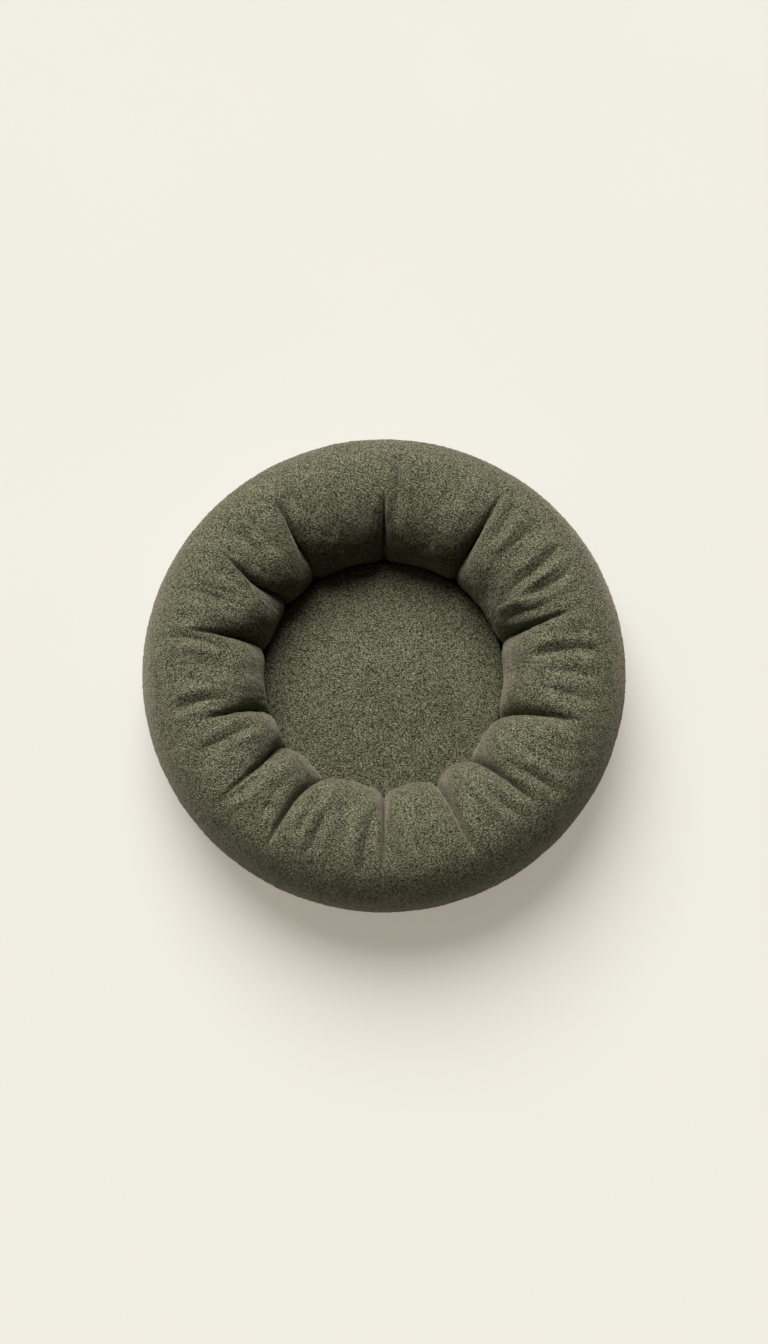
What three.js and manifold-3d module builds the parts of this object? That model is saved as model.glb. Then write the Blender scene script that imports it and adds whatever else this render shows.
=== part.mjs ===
// A round gathered pet bed, in millimetres with +Z up, standing on z = 0 with its origin at the centre of
// its base.
//
// A stuffed ring, the bolster, is sewn to a dotted base panel. Its cover is drawn in by an elastic at the
// inner lower edge, and opens with a zip low on the outside at the rear (+Y). A loose cushion lies in the
// well inside the ring, with a zip of its own under its rear edge. Both zips run in an arc about the Z
// axis.

import * as THREE from "three";
import { mergeVertices } from "three/addons/utils/BufferGeometryUtils.js";
import Module from "manifold-3d";

const wasm = await Module();
wasm.setup();

// ---------------------------------------------------------------- driving dimensions

const OUTER_DIAMETER = 600;
const WELL_DIAMETER = 296;
const HEIGHT = 156;

const LAYER_GAP = 0.3; // between pieces that touch
const COVER_THICKNESS = 3; // bolster cover, a thick napped fabric
const LINER_THICKNESS = 1;
const DOT_HEIGHT = 1;
const DOT_RADIUS = 6;
const DOT_PITCH = 64;
const BASE_THICKNESS = 1.6;
const WADDING_THICKNESS = 5.5;
const FLOOR_THICKNESS = 1.5;

// Bolster section: a superellipse that the base flattens underneath.
const TUBE_CENTRE_R = (OUTER_DIAMETER + WELL_DIAMETER) / 4;
const TUBE_HALF_WIDTH = (OUTER_DIAMETER - WELL_DIAMETER) / 4;
const TUBE_CENTRE_Z = HEIGHT / 2;
const TUBE_SAG = 8; // how far its round underside would reach below the floor
const TUBE_SQUARENESS = 2.3; // 2 is an ellipse
const HEEL_FROM = -60; // the straight heel at the foot of the outside, in degrees round the section
const HEEL_TO = -25;
const WELL_SEAM = 235; // where the section ends, at the foot of the well
const SECTION_STEP = 20;

// Cushion section: a crowned top, a blunt edge, a conical underside edge and a flat bottom.
const CUSHION_RADIUS = 143;
const CUSHION_HEIGHT = 66;
const CUSHION_EDGE_HEIGHT = 35; // of the edge seam, above the cushion's bottom
const CUSHION_CONE_TOP = { inside: 4, below: 5 }; // from the edge seam
const CUSHION_FLAT_RADIUS = 92;
const CUSHION_SQUARENESS = 2.4;
const CUSHION_TOP_STEPS = 6;
const CUSHION_PANEL_THICKNESS = 2.5;

// Facets of everything round, in degrees. The fine ones carry a zip, so cover, tapes and teeth share their
// corners.
const FINE_FACET = 9;
const COARSE_FACET = 18;
const PULL_END_STEPS = 6; // round the end of a zip's pull

// ---------------------------------------------------------------- geometry helpers

const radians = THREE.MathUtils.degToRad;
const point = (r, z) => new THREE.Vector2(r, z);
const WELD_DISTANCE = 1e-3;

// A closed mesh as a manifold-3d solid.
function solidOf(geometry) {
  const bare = geometry.clone();
  bare.deleteAttribute("normal");
  bare.deleteAttribute("uv");
  const merged = mergeVertices(bare, WELD_DISTANCE);
  return new wasm.Manifold(
    new wasm.Mesh({
      numProp: 3,
      vertProperties: merged.attributes.position.array,
      triVerts: new Uint32Array(merged.index.array),
    }),
  );
}

// A manifold-3d solid as a mesh geometry.
function geometryOf(solid) {
  const mesh = solid.getMesh();
  return new THREE.BufferGeometry()
    .setAttribute("position", new THREE.BufferAttribute(mesh.vertProperties, 3))
    .setIndex(new THREE.BufferAttribute(mesh.triVerts, 1));
}

// Turns a profile of [r, z] points about the Z axis. It starts and ends on the axis, or on the same point.
function turn(profile, facet = FINE_FACET) {
  return new THREE.LatheGeometry(profile, 360 / facet).rotateX(Math.PI / 2);
}

const turnLoop = (loop, facet) => turn([...loop, loop[0]], facet);

// An arc about the Z axis, in degrees from +X.
class ArcAboutZ extends THREE.Curve {
  constructor(radius, from, to) {
    super();
    Object.assign(this, { radius, from, to });
  }
  getPoint(t, target = new THREE.Vector3()) {
    const angle = radians(this.from + t * (this.to - this.from));
    return target.set(this.radius * Math.cos(angle), this.radius * Math.sin(angle), 0);
  }
}

// Sweeps a section of [r, z] points along an arc. The path's frame has x down and y towards the axis.
function sweep(section, from, to) {
  const path = new ArcAboutZ(TUBE_CENTRE_R, from, to);
  const shape = new THREE.Shape(section.map((p) => point(-p.y, TUBE_CENTRE_R - p.x)));
  const steps = Math.round((to - from) / FINE_FACET);
  return new THREE.ExtrudeGeometry(shape, { steps, extrudePath: path });
}

// A box from its lowest corner to its highest.
function block(low, high) {
  const size = high.map((value, i) => value - low[i]);
  const middle = high.map((value, i) => (value + low[i]) / 2);
  return new THREE.BoxGeometry(...size).translate(...middle);
}

// The same line of points, a depth to the left of its direction of travel, with mitred corners.
function inset(line, depth, closed = false) {
  const count = line.length;
  const normal = (a, b) => point(a.y - b.y, b.x - a.x).normalize();
  return line.map((p, i) => {
    const before = closed || i > 0 ? line[(i - 1 + count) % count] : null;
    const after = closed || i < count - 1 ? line[(i + 1) % count] : null;
    const first = before ? normal(before, p) : normal(p, after);
    const second = after ? normal(p, after) : first;
    const mitre = first.clone().add(second).normalize();
    return p.clone().addScaledVector(mitre, depth / mitre.dot(first));
  });
}

const onAxis = (line, ...ends) => line.map((p, i) => (ends.includes(i) ? point(0, p.y) : p));
const notBelow = (line, z) => line.map((p) => point(p.x, Math.max(p.y, z)));

// ---------------------------------------------------------------- layers of the base

const baseTop = DOT_HEIGHT + BASE_THICKNESS;
const bolsterBottom = baseTop + LAYER_GAP;
const wadding = { bottom: bolsterBottom, top: bolsterBottom + WADDING_THICKNESS };
const floor = { bottom: wadding.top + LAYER_GAP, top: wadding.top + LAYER_GAP + FLOOR_THICKNESS };
const cushionBottom = floor.top + LAYER_GAP;

// ---------------------------------------------------------------- outlines

const superellipse = (cosine, squareness) => Math.sign(cosine) * Math.abs(cosine) ** (2 / squareness);

// The bolster's outer surface, from its outer foot over the crest to the seam at the foot of the well.
function bolsterOutline() {
  const angles = [HEEL_FROM];
  for (let angle = HEEL_TO; angle <= WELL_SEAM; angle += SECTION_STEP) angles.push(angle);
  const line = angles.map((angle) => {
    const across = superellipse(Math.cos(radians(angle)), TUBE_SQUARENESS);
    const up = superellipse(Math.sin(radians(angle)), TUBE_SQUARENESS);
    const halfHeight = up > 0 ? HEIGHT - TUBE_CENTRE_Z : TUBE_CENTRE_Z + TUBE_SAG;
    return point(TUBE_CENTRE_R + TUBE_HALF_WIDTH * across, TUBE_CENTRE_Z + halfHeight * up);
  });
  return notBelow(line, bolsterBottom);
}

// The cushion's outer surface, from the middle of its bottom to the middle of its top. The cone is its
// second stretch.
const cushionSeamZ = cushionBottom + CUSHION_EDGE_HEIGHT;
function cushionUnderside() {
  const { inside, below } = CUSHION_CONE_TOP;
  return [
    point(0, cushionBottom),
    point(CUSHION_FLAT_RADIUS, cushionBottom),
    point(CUSHION_RADIUS - inside, cushionSeamZ - below),
    point(CUSHION_RADIUS, cushionSeamZ - LAYER_GAP / 2),
  ];
}
function cushionTop() {
  const rise = CUSHION_HEIGHT - CUSHION_EDGE_HEIGHT;
  const line = [];
  for (let i = 0; i <= CUSHION_TOP_STEPS; i++) {
    const angle = radians((90 * i) / CUSHION_TOP_STEPS);
    const across = superellipse(Math.cos(angle), CUSHION_SQUARENESS);
    const up = superellipse(Math.sin(angle), CUSHION_SQUARENESS);
    line.push(point(CUSHION_RADIUS * across, cushionSeamZ + LAYER_GAP / 2 + rise * up));
  }
  return onAxis(line, CUSHION_TOP_STEPS);
}

const bolster = bolsterOutline();
const coverInside = inset(bolster, COVER_THICKNESS);

// ---------------------------------------------------------------- zips

const ZIP = {
  // The tape starts at `from` off the zip's middle, and lies `underCover` below the cover's inner face.
  tape: { from: 3.9, thickness: 0.8, underCover: 0.5 },
  teeth: { from: 0.9, to: 3.6, above: 0.7, below: 1.5 }, // heights from the tape's outer face
  // The cover's slot over the zip runs `past` the teeth's ends, and `below` the tape's face.
  slot: { halfWidth: 5.7, past: 6, below: 1 },
  closedShort: 9, // how far the closed slider's middle is from the end of the teeth
  clearance: 0.45, // of the slider on the teeth
  stop: { length: 3, gap: 0.6, above: 1.4, below: 2.2 },
};

const SLIDER = {
  length: 13,
  plate: 1.2,
  flange: 1,
  tapeClearance: { above: 0.55, below: 0.75 }, // of its flanges' lips
  divider: { halfWidth: 0.45, length: 5 },
  bail: { halfLength: 4.4, post: 1.2, halfWidth: 1, top: 6.4, bar: 1 },
};
const PULL = { pivotHeight: 4.75, halfThickness: 0.4, eyeTo: 5.6, eyeHalfWidth: 1.6, halfWidth: 3.4 };

// A zip's place: the middle of the straight stretch from a to b, at the tape's outer face. In the section,
// `up` runs along the tape from a to b and `out` leaves the surface.
function zipPlace(a, b, share, coverThickness) {
  const up = b.clone().sub(a).normalize();
  const out = point(up.y, -up.x);
  const middle = a.clone().lerp(b, share);
  middle.addScaledVector(out, -coverThickness - ZIP.tape.underCover);
  const at = (along, height) => middle.clone().addScaledVector(up, along).addScaledVector(out, height);
  return { up, out, middle, at };
}

const arcDegrees = (length, place) => THREE.MathUtils.radToDeg(length / place.middle.x);

// The corners of a rectangle in a zip's section.
function zipSection(place, from, to, below, above) {
  return [place.at(from, below), place.at(to, below), place.at(to, above), place.at(from, above)];
}

// A group whose axes are along the zip, across its tape and out of it, on the zip's line at an angle round
// the Z axis. The line lies midway between the corners and the flats of the faceted teeth.
function zipStation(place, angle) {
  const outward = new THREE.Vector3(Math.cos(radians(angle)), Math.sin(radians(angle)), 0);
  const lift = (p) => outward.clone().multiplyScalar(p.x).setZ(p.y);
  const along = new THREE.Vector3(-outward.y, outward.x, 0);
  const faceted = (place.middle.x * (1 + Math.cos(radians(FINE_FACET / 2)))) / 2;
  const group = new THREE.Group();
  const axes = new THREE.Matrix4().makeBasis(along, lift(place.up), lift(place.out));
  group.quaternion.setFromRotationMatrix(axes);
  group.position.copy(lift(point(faceted, place.middle.y)));
  return group;
}

// The slider runs along x. Its two plates and their flanges hold the teeth, the divider parts them, and the
// bail on the outer plate holds the pull.
function sliderGeometry() {
  const { teeth, tape, clearance } = ZIP;
  const { plate, flange, divider, bail, tapeClearance } = SLIDER;
  const half = SLIDER.length / 2;
  const inner = teeth.to + clearance;
  const outer = inner + flange;
  const roof = teeth.above + clearance;
  const ground = -teeth.below - clearance;
  const lips = [tapeClearance.above, -tape.thickness - tapeClearance.below];
  const join = 0.1; // how far neighbouring blocks reach into each other
  const blocks = [
    block([-half, -outer, roof], [half, outer, roof + plate]),
    block([-half, -outer, ground - plate], [half, outer, ground]),
    block(
      [half - divider.length, -divider.halfWidth, ground - join],
      [half, divider.halfWidth, roof + join],
    ),
  ];
  for (const side of [-1, 1]) {
    const [near, far] = side < 0 ? [-outer, -inner] : [inner, outer];
    blocks.push(block([-half, near, lips[0]], [half, far, roof + join]));
    blocks.push(block([-half, near, ground - join], [half, far, lips[1]]));
    const post = side * (bail.halfLength - bail.post / 2);
    blocks.push(
      block(
        [post - bail.post / 2, -bail.halfWidth, roof + plate - join],
        [post + bail.post / 2, bail.halfWidth, bail.top],
      ),
    );
  }
  blocks.push(
    block(
      [-bail.halfLength, -bail.halfWidth, bail.top - bail.bar],
      [bail.halfLength, bail.halfWidth, bail.top],
    ),
  );
  return geometryOf(blocks.map(solidOf).reduce((whole, next) => whole.add(next)));
}

// A flat tab that lies along -x from its cross-bar, with an eye for the bail and a round end.
function pullGeometry(length) {
  const { halfThickness: t, eyeTo, eyeHalfWidth, halfWidth } = PULL;
  const outline = new THREE.Shape();
  outline.moveTo(t, -halfWidth).lineTo(t, halfWidth).lineTo(halfWidth - length, halfWidth);
  outline.absarc(halfWidth - length, 0, halfWidth, Math.PI / 2, (3 * Math.PI) / 2, false);
  const eye = new THREE.Path();
  eye.moveTo(-t, -eyeHalfWidth).lineTo(-eyeTo, -eyeHalfWidth);
  eye.lineTo(-eyeTo, eyeHalfWidth).lineTo(-t, eyeHalfWidth);
  outline.holes.push(eye.closePath());
  const options = { depth: 2 * t, bevelEnabled: false, curveSegments: PULL_END_STEPS };
  return new THREE.ExtrudeGeometry(outline, options).translate(0, 0, -t);
}

// The slot that a cover needs over its zip.
function zipSlot(place, arc) {
  const { halfWidth, past, below } = ZIP.slot;
  const section = zipSection(place, -halfWidth, halfWidth, -below, 2 * COVER_THICKNESS);
  const pastTeeth = arcDegrees(past, place);
  return solidOf(sweep(section, arc.from - pastTeeth, arc.to + pastTeeth));
}

// All of a zip's pieces. The arc's limits are those of its teeth, and the slider rests closed near arc.to.
function addZip(group, name, place, arc) {
  const { tape, teeth, stop } = ZIP;
  for (const [half, side] of [["upper", 1], ["lower", -1]]) {
    const across = (near, far, below, above) => {
      const [from, to] = side > 0 ? [near, far] : [-far, -near];
      return zipSection(place, from, to, below, above);
    };
    const tapeSection = across(tape.from, arc.tapeHalfWidth, -tape.thickness, 0);
    const tapeStrip = sweep(tapeSection, arc.from - FINE_FACET, arc.to + FINE_FACET);
    add(group, `${name}_tape_${half}`, tapeStrip, tapeMaterial);
    const teethSection = across(teeth.from, teeth.to, -teeth.below, teeth.above);
    add(group, `${name}_teeth_${half}`, sweep(teethSection, arc.from, arc.to), teethMaterial);
    const [near, far] = side > 0 ? [teeth.from, teeth.to] : [-teeth.to, -teeth.from];
    const topStop = block([stop.gap, near, -stop.below], [stop.gap + stop.length, far, stop.above]);
    const station = zipStation(place, arc.to);
    add(station, `${name}_top_stop_${half}`, topStop, metalMaterial);
    group.add(station);
  }
  const foot = zipStation(place, arc.from);
  const bottomStop = block(
    [-stop.gap - stop.length, -teeth.to, -stop.below],
    [-stop.gap, teeth.to, stop.above],
  );
  add(foot, `${name}_bottom_stop`, bottomStop, metalMaterial);
  const slider = zipStation(place, arc.to - arcDegrees(ZIP.closedShort, place));
  add(slider, `${name}_slider`, sliderGeometry(), metalMaterial);
  const pull = add(slider, `${name}_pull`, pullGeometry(arc.pullLength), metalMaterial);
  pull.position.z = PULL.pivotHeight;
  pull.rotation.y = Math.PI / 2; // both zips face downwards, so it hangs straight out of the slider
  group.add(foot, slider);
}

// ---------------------------------------------------------------- materials

const fabric = (color, roughness) => new THREE.MeshStandardMaterial({ color, roughness, metalness: 0 });
const coverMaterial = fabric(0x5f5e4b, 0.95);
const linerMaterial = fabric(0xe4e2da, 0.9);
const fillMaterial = fabric(0xf4f3ef, 1);
const baseMaterial = fabric(0x33342d, 0.85);
const tapeMaterial = fabric(0x4c4c3d, 0.85);
const labelMaterial = fabric(0xe9e6dc, 0.6);
const elasticMaterial = fabric(0xd8d6cf, 0.8);
const teethMaterial = fabric(0x45463a, 0.4);
const metalMaterial = new THREE.MeshStandardMaterial({ color: 0x6b6a60, roughness: 0.35, metalness: 1 });

function add(group, name, geometry, material) {
  const mesh = new THREE.Mesh(geometry, material);
  mesh.name = name;
  group.add(mesh);
  return mesh;
}

// ---------------------------------------------------------------- bolster

// Teeth from and to, in degrees; share is how far up the heel the zip lies.
const BOLSTER_ZIP = { from: 36, to: 144, share: 0.5, tapeHalfWidth: 16, pullLength: 20 };
const bolsterZipPlace = zipPlace(bolster[0], bolster[1], BOLSTER_ZIP.share, COVER_THICKNESS);

function bolsterCover() {
  const ring = solidOf(turnLoop([...bolster, ...coverInside.reverse()]));
  return geometryOf(ring.subtract(zipSlot(bolsterZipPlace, BOLSTER_ZIP)));
}

// The bag of filling lies close inside the cover, and deeper along the heel, clear of the back of the zip's
// slider.
const BAG_DEPTH = 5.4;
const BAG_HEEL_DEPTH = 7.8;
function bolsterBagOutline() {
  const atHeel = inset(bolster, BAG_HEEL_DEPTH);
  return inset(bolster, BAG_DEPTH).map((p, i) => (i < 2 ? atHeel[i] : p));
}

// A hollow bag with a slit through its outer side at the rear, where its filling goes in.
const BOLSTER_SLIT = { halfWidth: 60, from: 250, to: 300, bottom: 20, top: 32 };
function bolsterBag() {
  const outline = bolsterBagOutline();
  const whole = solidOf(turnLoop(outline, COARSE_FACET));
  const hollow = solidOf(turnLoop(inset(outline, LINER_THICKNESS, true), COARSE_FACET));
  return geometryOf(whole.subtract(hollow).subtract(slitSolid(BOLSTER_SLIT)));
}

function slitSolid({ halfWidth, from, to, bottom, top }) {
  return solidOf(block([-halfWidth, from, bottom], [halfWidth, to, top]));
}

const FILL_GAP = 0.4;
const filling = (outline) => turnLoop(inset(outline, LINER_THICKNESS + FILL_GAP, true), COARSE_FACET);

// A flat elastic that lies in the cover's hem at the foot of the well.
const ELASTIC = { from: 183, to: 188, bottom: 6.6, top: 7.8 };
function gatherElastic() {
  const { from, to, bottom, top } = ELASTIC;
  return turnLoop([point(from, bottom), point(to, bottom), point(to, top), point(from, top)], COARSE_FACET);
}

// ---------------------------------------------------------------- base

const BASE_RADIUS = bolster[0].x;
const FLOOR_MARGIN = 6; // from the bolster's inner foot, which leans over it
const FLOOR_RADIUS = bolster.at(-1).x - FLOOR_MARGIN;
const DOT_SIDES = 6;
const DOT_EDGE_MARGIN = 12;
const DOT_SUNK = 0.4; // into the panel

function disc(radius, bottom, top, facet = COARSE_FACET) {
  return turn([point(0, bottom), point(radius, bottom), point(radius, top), point(0, top)], facet);
}

// The underside panel, with a hexagonal grid of grip dots that includes one at the centre.
function basePanel() {
  let panel = solidOf(disc(BASE_RADIUS, DOT_HEIGHT, baseTop, FINE_FACET));
  const rowPitch = (DOT_PITCH * Math.sqrt(3)) / 2;
  const rows = Math.ceil(BASE_RADIUS / rowPitch);
  for (let row = -rows; row <= rows; row++)
    for (let column = -rows; column <= rows; column++) {
      const x = (column + (row % 2) / 2) * DOT_PITCH;
      const y = row * rowPitch;
      if (Math.hypot(x, y) > BASE_RADIUS - DOT_RADIUS - DOT_EDGE_MARGIN) continue;
      const dot = new THREE.CylinderGeometry(DOT_RADIUS, DOT_RADIUS, DOT_HEIGHT + DOT_SUNK, DOT_SIDES);
      dot.rotateX(Math.PI / 2).translate(x, y, (DOT_HEIGHT + DOT_SUNK) / 2);
      panel = panel.add(solidOf(dot));
    }
  return geometryOf(panel);
}

// A blank care label, sewn into the base seam at the rear, beside the zip.
const LABEL = { width: 36, reach: 24, thickness: 0.8, bottom: 1.3, angle: 158 };
function careLabel() {
  const { width, reach, thickness, bottom, angle } = LABEL;
  const near = BASE_RADIUS + LAYER_GAP;
  const label = block([near, -width / 2, bottom], [near + reach, width / 2, bottom + thickness]);
  return label.rotateZ(radians(angle));
}

// ---------------------------------------------------------------- cushion

// As BOLSTER_ZIP, with the share of the way up the cone.
const CUSHION_ZIP = { from: 36, to: 144, share: 0.76, tapeHalfWidth: 11.5, pullLength: 14 };
const underside = cushionUnderside();
const crown = cushionTop();
const cushionZipPlace = zipPlace(underside[1], underside[2], CUSHION_ZIP.share, CUSHION_PANEL_THICKNESS);

// A panel whose outer line starts or ends on the axis.
function panelProfile(line, axisEnd) {
  const inside = onAxis(inset(line, CUSHION_PANEL_THICKNESS), axisEnd);
  return axisEnd === 0 ? [...line, ...inside.reverse()] : [...inside.reverse(), ...line];
}

function cushionUndersidePanel() {
  const profile = panelProfile(underside, 0);
  const seam = underside.at(-1);
  profile[underside.length].y = seam.y; // its edge ends level with the seam
  return geometryOf(solidOf(turn(profile)).subtract(zipSlot(cushionZipPlace, CUSHION_ZIP)));
}

function cushionTopPanel() {
  const profile = panelProfile(crown, CUSHION_TOP_STEPS);
  profile[CUSHION_TOP_STEPS].y = crown[0].y;
  return turn(profile, COARSE_FACET);
}

const CUSHION_BAG_DEPTH = 7.8;
function cushionBagOutline() {
  const line = [...underside.slice(0, -1), ...crown.slice(1)];
  const bagLine = inset(line, CUSHION_BAG_DEPTH);
  bagLine[0] = point(0, bagLine[0].y);
  bagLine[bagLine.length - 1] = point(0, bagLine.at(-1).y);
  return bagLine;
}

const CUSHION_SLIT = {
  halfWidth: 60,
  from: 100,
  to: CUSHION_RADIUS,
  bottom: cushionSeamZ - 3,
  top: cushionSeamZ + 3,
};
function cushionBag() {
  const outline = cushionBagOutline();
  const whole = solidOf(turn(outline, COARSE_FACET));
  const hollow = solidOf(turn(cushionFillOutline(LINER_THICKNESS), COARSE_FACET));
  return geometryOf(whole.subtract(hollow).subtract(slitSolid(CUSHION_SLIT)));
}

function cushionFillOutline(depth) {
  const line = inset(cushionBagOutline(), depth);
  return onAxis(line, 0, line.length - 1);
}

function cushionFill() {
  return turn(cushionFillOutline(LINER_THICKNESS + FILL_GAP), COARSE_FACET);
}

// ---------------------------------------------------------------- assembly

const bed = new THREE.Group();
add(bed, "bolster_cover", bolsterCover(), coverMaterial);
add(bed, "bolster_liner", bolsterBag(), linerMaterial);
add(bed, "bolster_fill", filling(bolsterBagOutline()), fillMaterial);
add(bed, "gather_elastic", gatherElastic(), elasticMaterial);
add(bed, "base_panel", basePanel(), baseMaterial);
add(bed, "base_wadding", disc(FLOOR_RADIUS, wadding.bottom, wadding.top), fillMaterial);
add(bed, "floor_panel", disc(FLOOR_RADIUS, floor.bottom, floor.top), coverMaterial);
add(bed, "care_label", careLabel(), labelMaterial);
addZip(bed, "bolster_zip", bolsterZipPlace, BOLSTER_ZIP);

const cushion = new THREE.Group();
add(cushion, "cushion_top_panel", cushionTopPanel(), coverMaterial);
add(cushion, "cushion_underside_panel", cushionUndersidePanel(), coverMaterial);
add(cushion, "cushion_liner", cushionBag(), linerMaterial);
add(cushion, "cushion_fill", cushionFill(), fillMaterial);
addZip(cushion, "cushion_zip", cushionZipPlace, CUSHION_ZIP);
bed.add(cushion);

export default bed;
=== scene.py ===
import functools
import math

import bpy
import numpy as np
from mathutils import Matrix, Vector


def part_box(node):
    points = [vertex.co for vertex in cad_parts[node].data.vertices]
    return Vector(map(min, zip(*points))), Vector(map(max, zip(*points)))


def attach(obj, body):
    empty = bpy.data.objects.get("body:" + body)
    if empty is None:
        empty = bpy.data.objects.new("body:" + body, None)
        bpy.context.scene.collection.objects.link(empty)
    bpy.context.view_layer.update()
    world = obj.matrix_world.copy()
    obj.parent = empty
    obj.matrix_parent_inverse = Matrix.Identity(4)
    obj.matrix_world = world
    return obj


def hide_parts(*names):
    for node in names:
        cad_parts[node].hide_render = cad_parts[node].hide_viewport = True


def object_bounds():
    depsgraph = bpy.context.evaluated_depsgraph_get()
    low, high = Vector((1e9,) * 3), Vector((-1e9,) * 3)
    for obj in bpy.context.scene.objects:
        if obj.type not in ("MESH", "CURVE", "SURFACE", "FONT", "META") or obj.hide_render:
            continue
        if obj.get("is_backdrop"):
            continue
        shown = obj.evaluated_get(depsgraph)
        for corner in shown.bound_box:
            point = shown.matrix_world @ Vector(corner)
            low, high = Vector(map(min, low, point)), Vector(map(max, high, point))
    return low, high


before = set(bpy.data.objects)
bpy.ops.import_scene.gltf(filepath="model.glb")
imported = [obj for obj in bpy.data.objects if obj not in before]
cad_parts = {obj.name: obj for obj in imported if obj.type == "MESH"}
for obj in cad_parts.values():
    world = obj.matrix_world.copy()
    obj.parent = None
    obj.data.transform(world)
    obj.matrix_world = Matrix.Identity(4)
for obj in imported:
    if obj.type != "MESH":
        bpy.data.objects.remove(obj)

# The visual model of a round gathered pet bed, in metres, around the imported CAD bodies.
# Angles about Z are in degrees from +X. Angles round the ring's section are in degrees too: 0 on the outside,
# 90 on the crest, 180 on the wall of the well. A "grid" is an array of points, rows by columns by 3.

CAD_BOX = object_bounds()
MM = 0.001
RNG = np.random.default_rng(7)

# ---------------------------------------------------------------- the frame's own sizes


def turn_of(grid):
    """Each point's angle about Z, in degrees."""
    return np.degrees(np.arctan2(grid[..., 1], grid[..., 0]))


def radius_of(grid):
    return np.hypot(grid[..., 0], grid[..., 1])


def mesh_points(mesh):
    points = np.empty(len(mesh.vertices) * 3)
    mesh.vertices.foreach_get("co", points)
    return points.reshape(-1, 3)


def node_points(name):
    return mesh_points(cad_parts[name].data)


def radii_of(name):
    return radius_of(node_points(name))


def low_of(name):
    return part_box(name)[0].z


def high_of(name):
    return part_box(name)[1].z


RING_OUTSIDE = radii_of("bolster_cover").max()
RING_INSIDE = radii_of("bolster_cover").min()
RING_LOW, RING_HIGH = low_of("bolster_cover"), high_of("bolster_cover")
TUBE_R = (RING_OUTSIDE + RING_INSIDE) / 2
TUBE_HALF_WIDTH = (RING_OUTSIDE - RING_INSIDE) / 2
TUBE_Z = RING_HIGH / 2
TUBE_SAG = 8 * MM
SQUARENESS = 2.3
OUTER_FOOT, INNER_FOOT = -60, 235
COVER_THICKNESS = 3 * MM
SLOT_HALF_WIDTH = 5.7 * MM
SLOT_PAST_TEETH = 6 * MM
PULL_ROOM = 13 * MM  # the ring's slot is longer, so that the pull clears its ends

CUSHION_R = radii_of("cushion_top_panel").max()
CUSHION_LOW = low_of("cushion_underside_panel")
CUSHION_TOP = high_of("cushion_top_panel")
CUSHION_SEAM = (high_of("cushion_underside_panel") + low_of("cushion_top_panel")) / 2
CUSHION_FLAT_R = 92 * MM
CUSHION_SQUARENESS = 1.5

# ---------------------------------------------------------------- small helpers


def smooth(low, high, x):
    t = np.clip((x - low) / (high - low), 0, 1)
    return t * t * (3 - 2 * t)


def plateau(low, high, soft, x):
    """1 from low to high, falling to 0 over `soft` on either side."""
    return smooth(low - soft, low, x) * smooth(high + soft, high, x)


def wrap(degrees):
    """An angle's smallest turn, from -180 to 180."""
    return (degrees + 180) % 360 - 180


def around_z(theta, r, z):
    a = np.radians(theta)
    return np.stack([r * np.cos(a), r * np.sin(a), z + np.zeros_like(a * r)], axis=-1)


def column_angles(rows, columns):
    """The angles about Z of a grid whose columns are evenly spaced."""
    return np.tile(np.arange(columns) * 360 / columns, (rows, 1))


def unit(vectors):
    return vectors / np.maximum(np.linalg.norm(vectors, axis=-1, keepdims=True), 1e-12)


def random_waves(count, shortest, longest):
    """Smooth noise of about unit size at points in space, from plane waves between these lengths."""
    directions = unit(RNG.normal(size=(count, 3))) / RNG.uniform(shortest, longest, (count, 1))
    phases = RNG.uniform(0, 2 * math.pi, count)

    def at(points):
        return np.sin(points @ directions.T * 2 * math.pi + phases).sum(-1) / math.sqrt(count / 2)

    return at


def mesh_object(name, points, faces, smooth_faces=True):
    mesh = bpy.data.meshes.new(name)
    mesh.from_pydata(np.asarray(points).reshape(-1, 3).tolist(), [], [list(f) for f in faces])
    mesh.update()
    if smooth_faces:
        mesh.polygons.foreach_set("use_smooth", [True] * len(mesh.polygons))
    piece = bpy.data.objects.new(name, mesh)
    bpy.context.scene.collection.objects.link(piece)
    return piece


def set_points(piece, points):
    piece.data.vertices.foreach_set("co", np.ascontiguousarray(points, dtype=np.float32).ravel())
    piece.data.update()


def dress(piece, node, slot, body, material):
    """Gives a piece its material, hides the CAD node it stands for, and attaches the piece to its body. slot
    is not used.
    """
    piece.data.materials.append(material())
    if node:
        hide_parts(node)
    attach(piece, body)


def grid_faces(rows, columns, wrap_rows=False, wrap_columns=True):
    """Quads of a grid, as an array of rows by columns by 4."""
    i = np.arange(columns if wrap_columns else columns - 1)
    j = np.arange(rows if wrap_rows else rows - 1)[:, None]
    far_j, far_i = (j + 1) % rows, (i + 1) % columns
    corners = [j * columns + i, j * columns + far_i, far_j * columns + far_i, far_j * columns + i]
    return np.stack(corners, axis=-1)


def grid_normals(grid):
    """Unit normals of a grid that closes on itself along its columns."""
    along = np.roll(grid, -1, axis=1) - np.roll(grid, 1, axis=1)
    up = np.gradient(grid, axis=0)
    return unit(np.cross(along, up))


def refined(grid):
    """A grid with a new point in the middle of each side, on the smooth surface through the old points."""
    before, after, far = np.roll(grid, 1, axis=1), np.roll(grid, -1, axis=1), np.roll(grid, -2, axis=1)
    between = (9 * (grid + after) - before - far) / 16
    wide = np.stack([grid, between], axis=2).reshape(grid.shape[0], -1, *grid.shape[2:])
    first, last = 2 * wide[:1] - wide[1:2], 2 * wide[-1:] - wide[-2:-1]
    longer = np.concatenate([first, wide, last])
    between = (9 * (longer[1:-2] + longer[2:-1]) - longer[:-3] - longer[3:]) / 16
    fine = np.empty((2 * wide.shape[0] - 1, *wide.shape[1:]))
    fine[0::2], fine[1::2] = wide, between
    return fine


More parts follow.
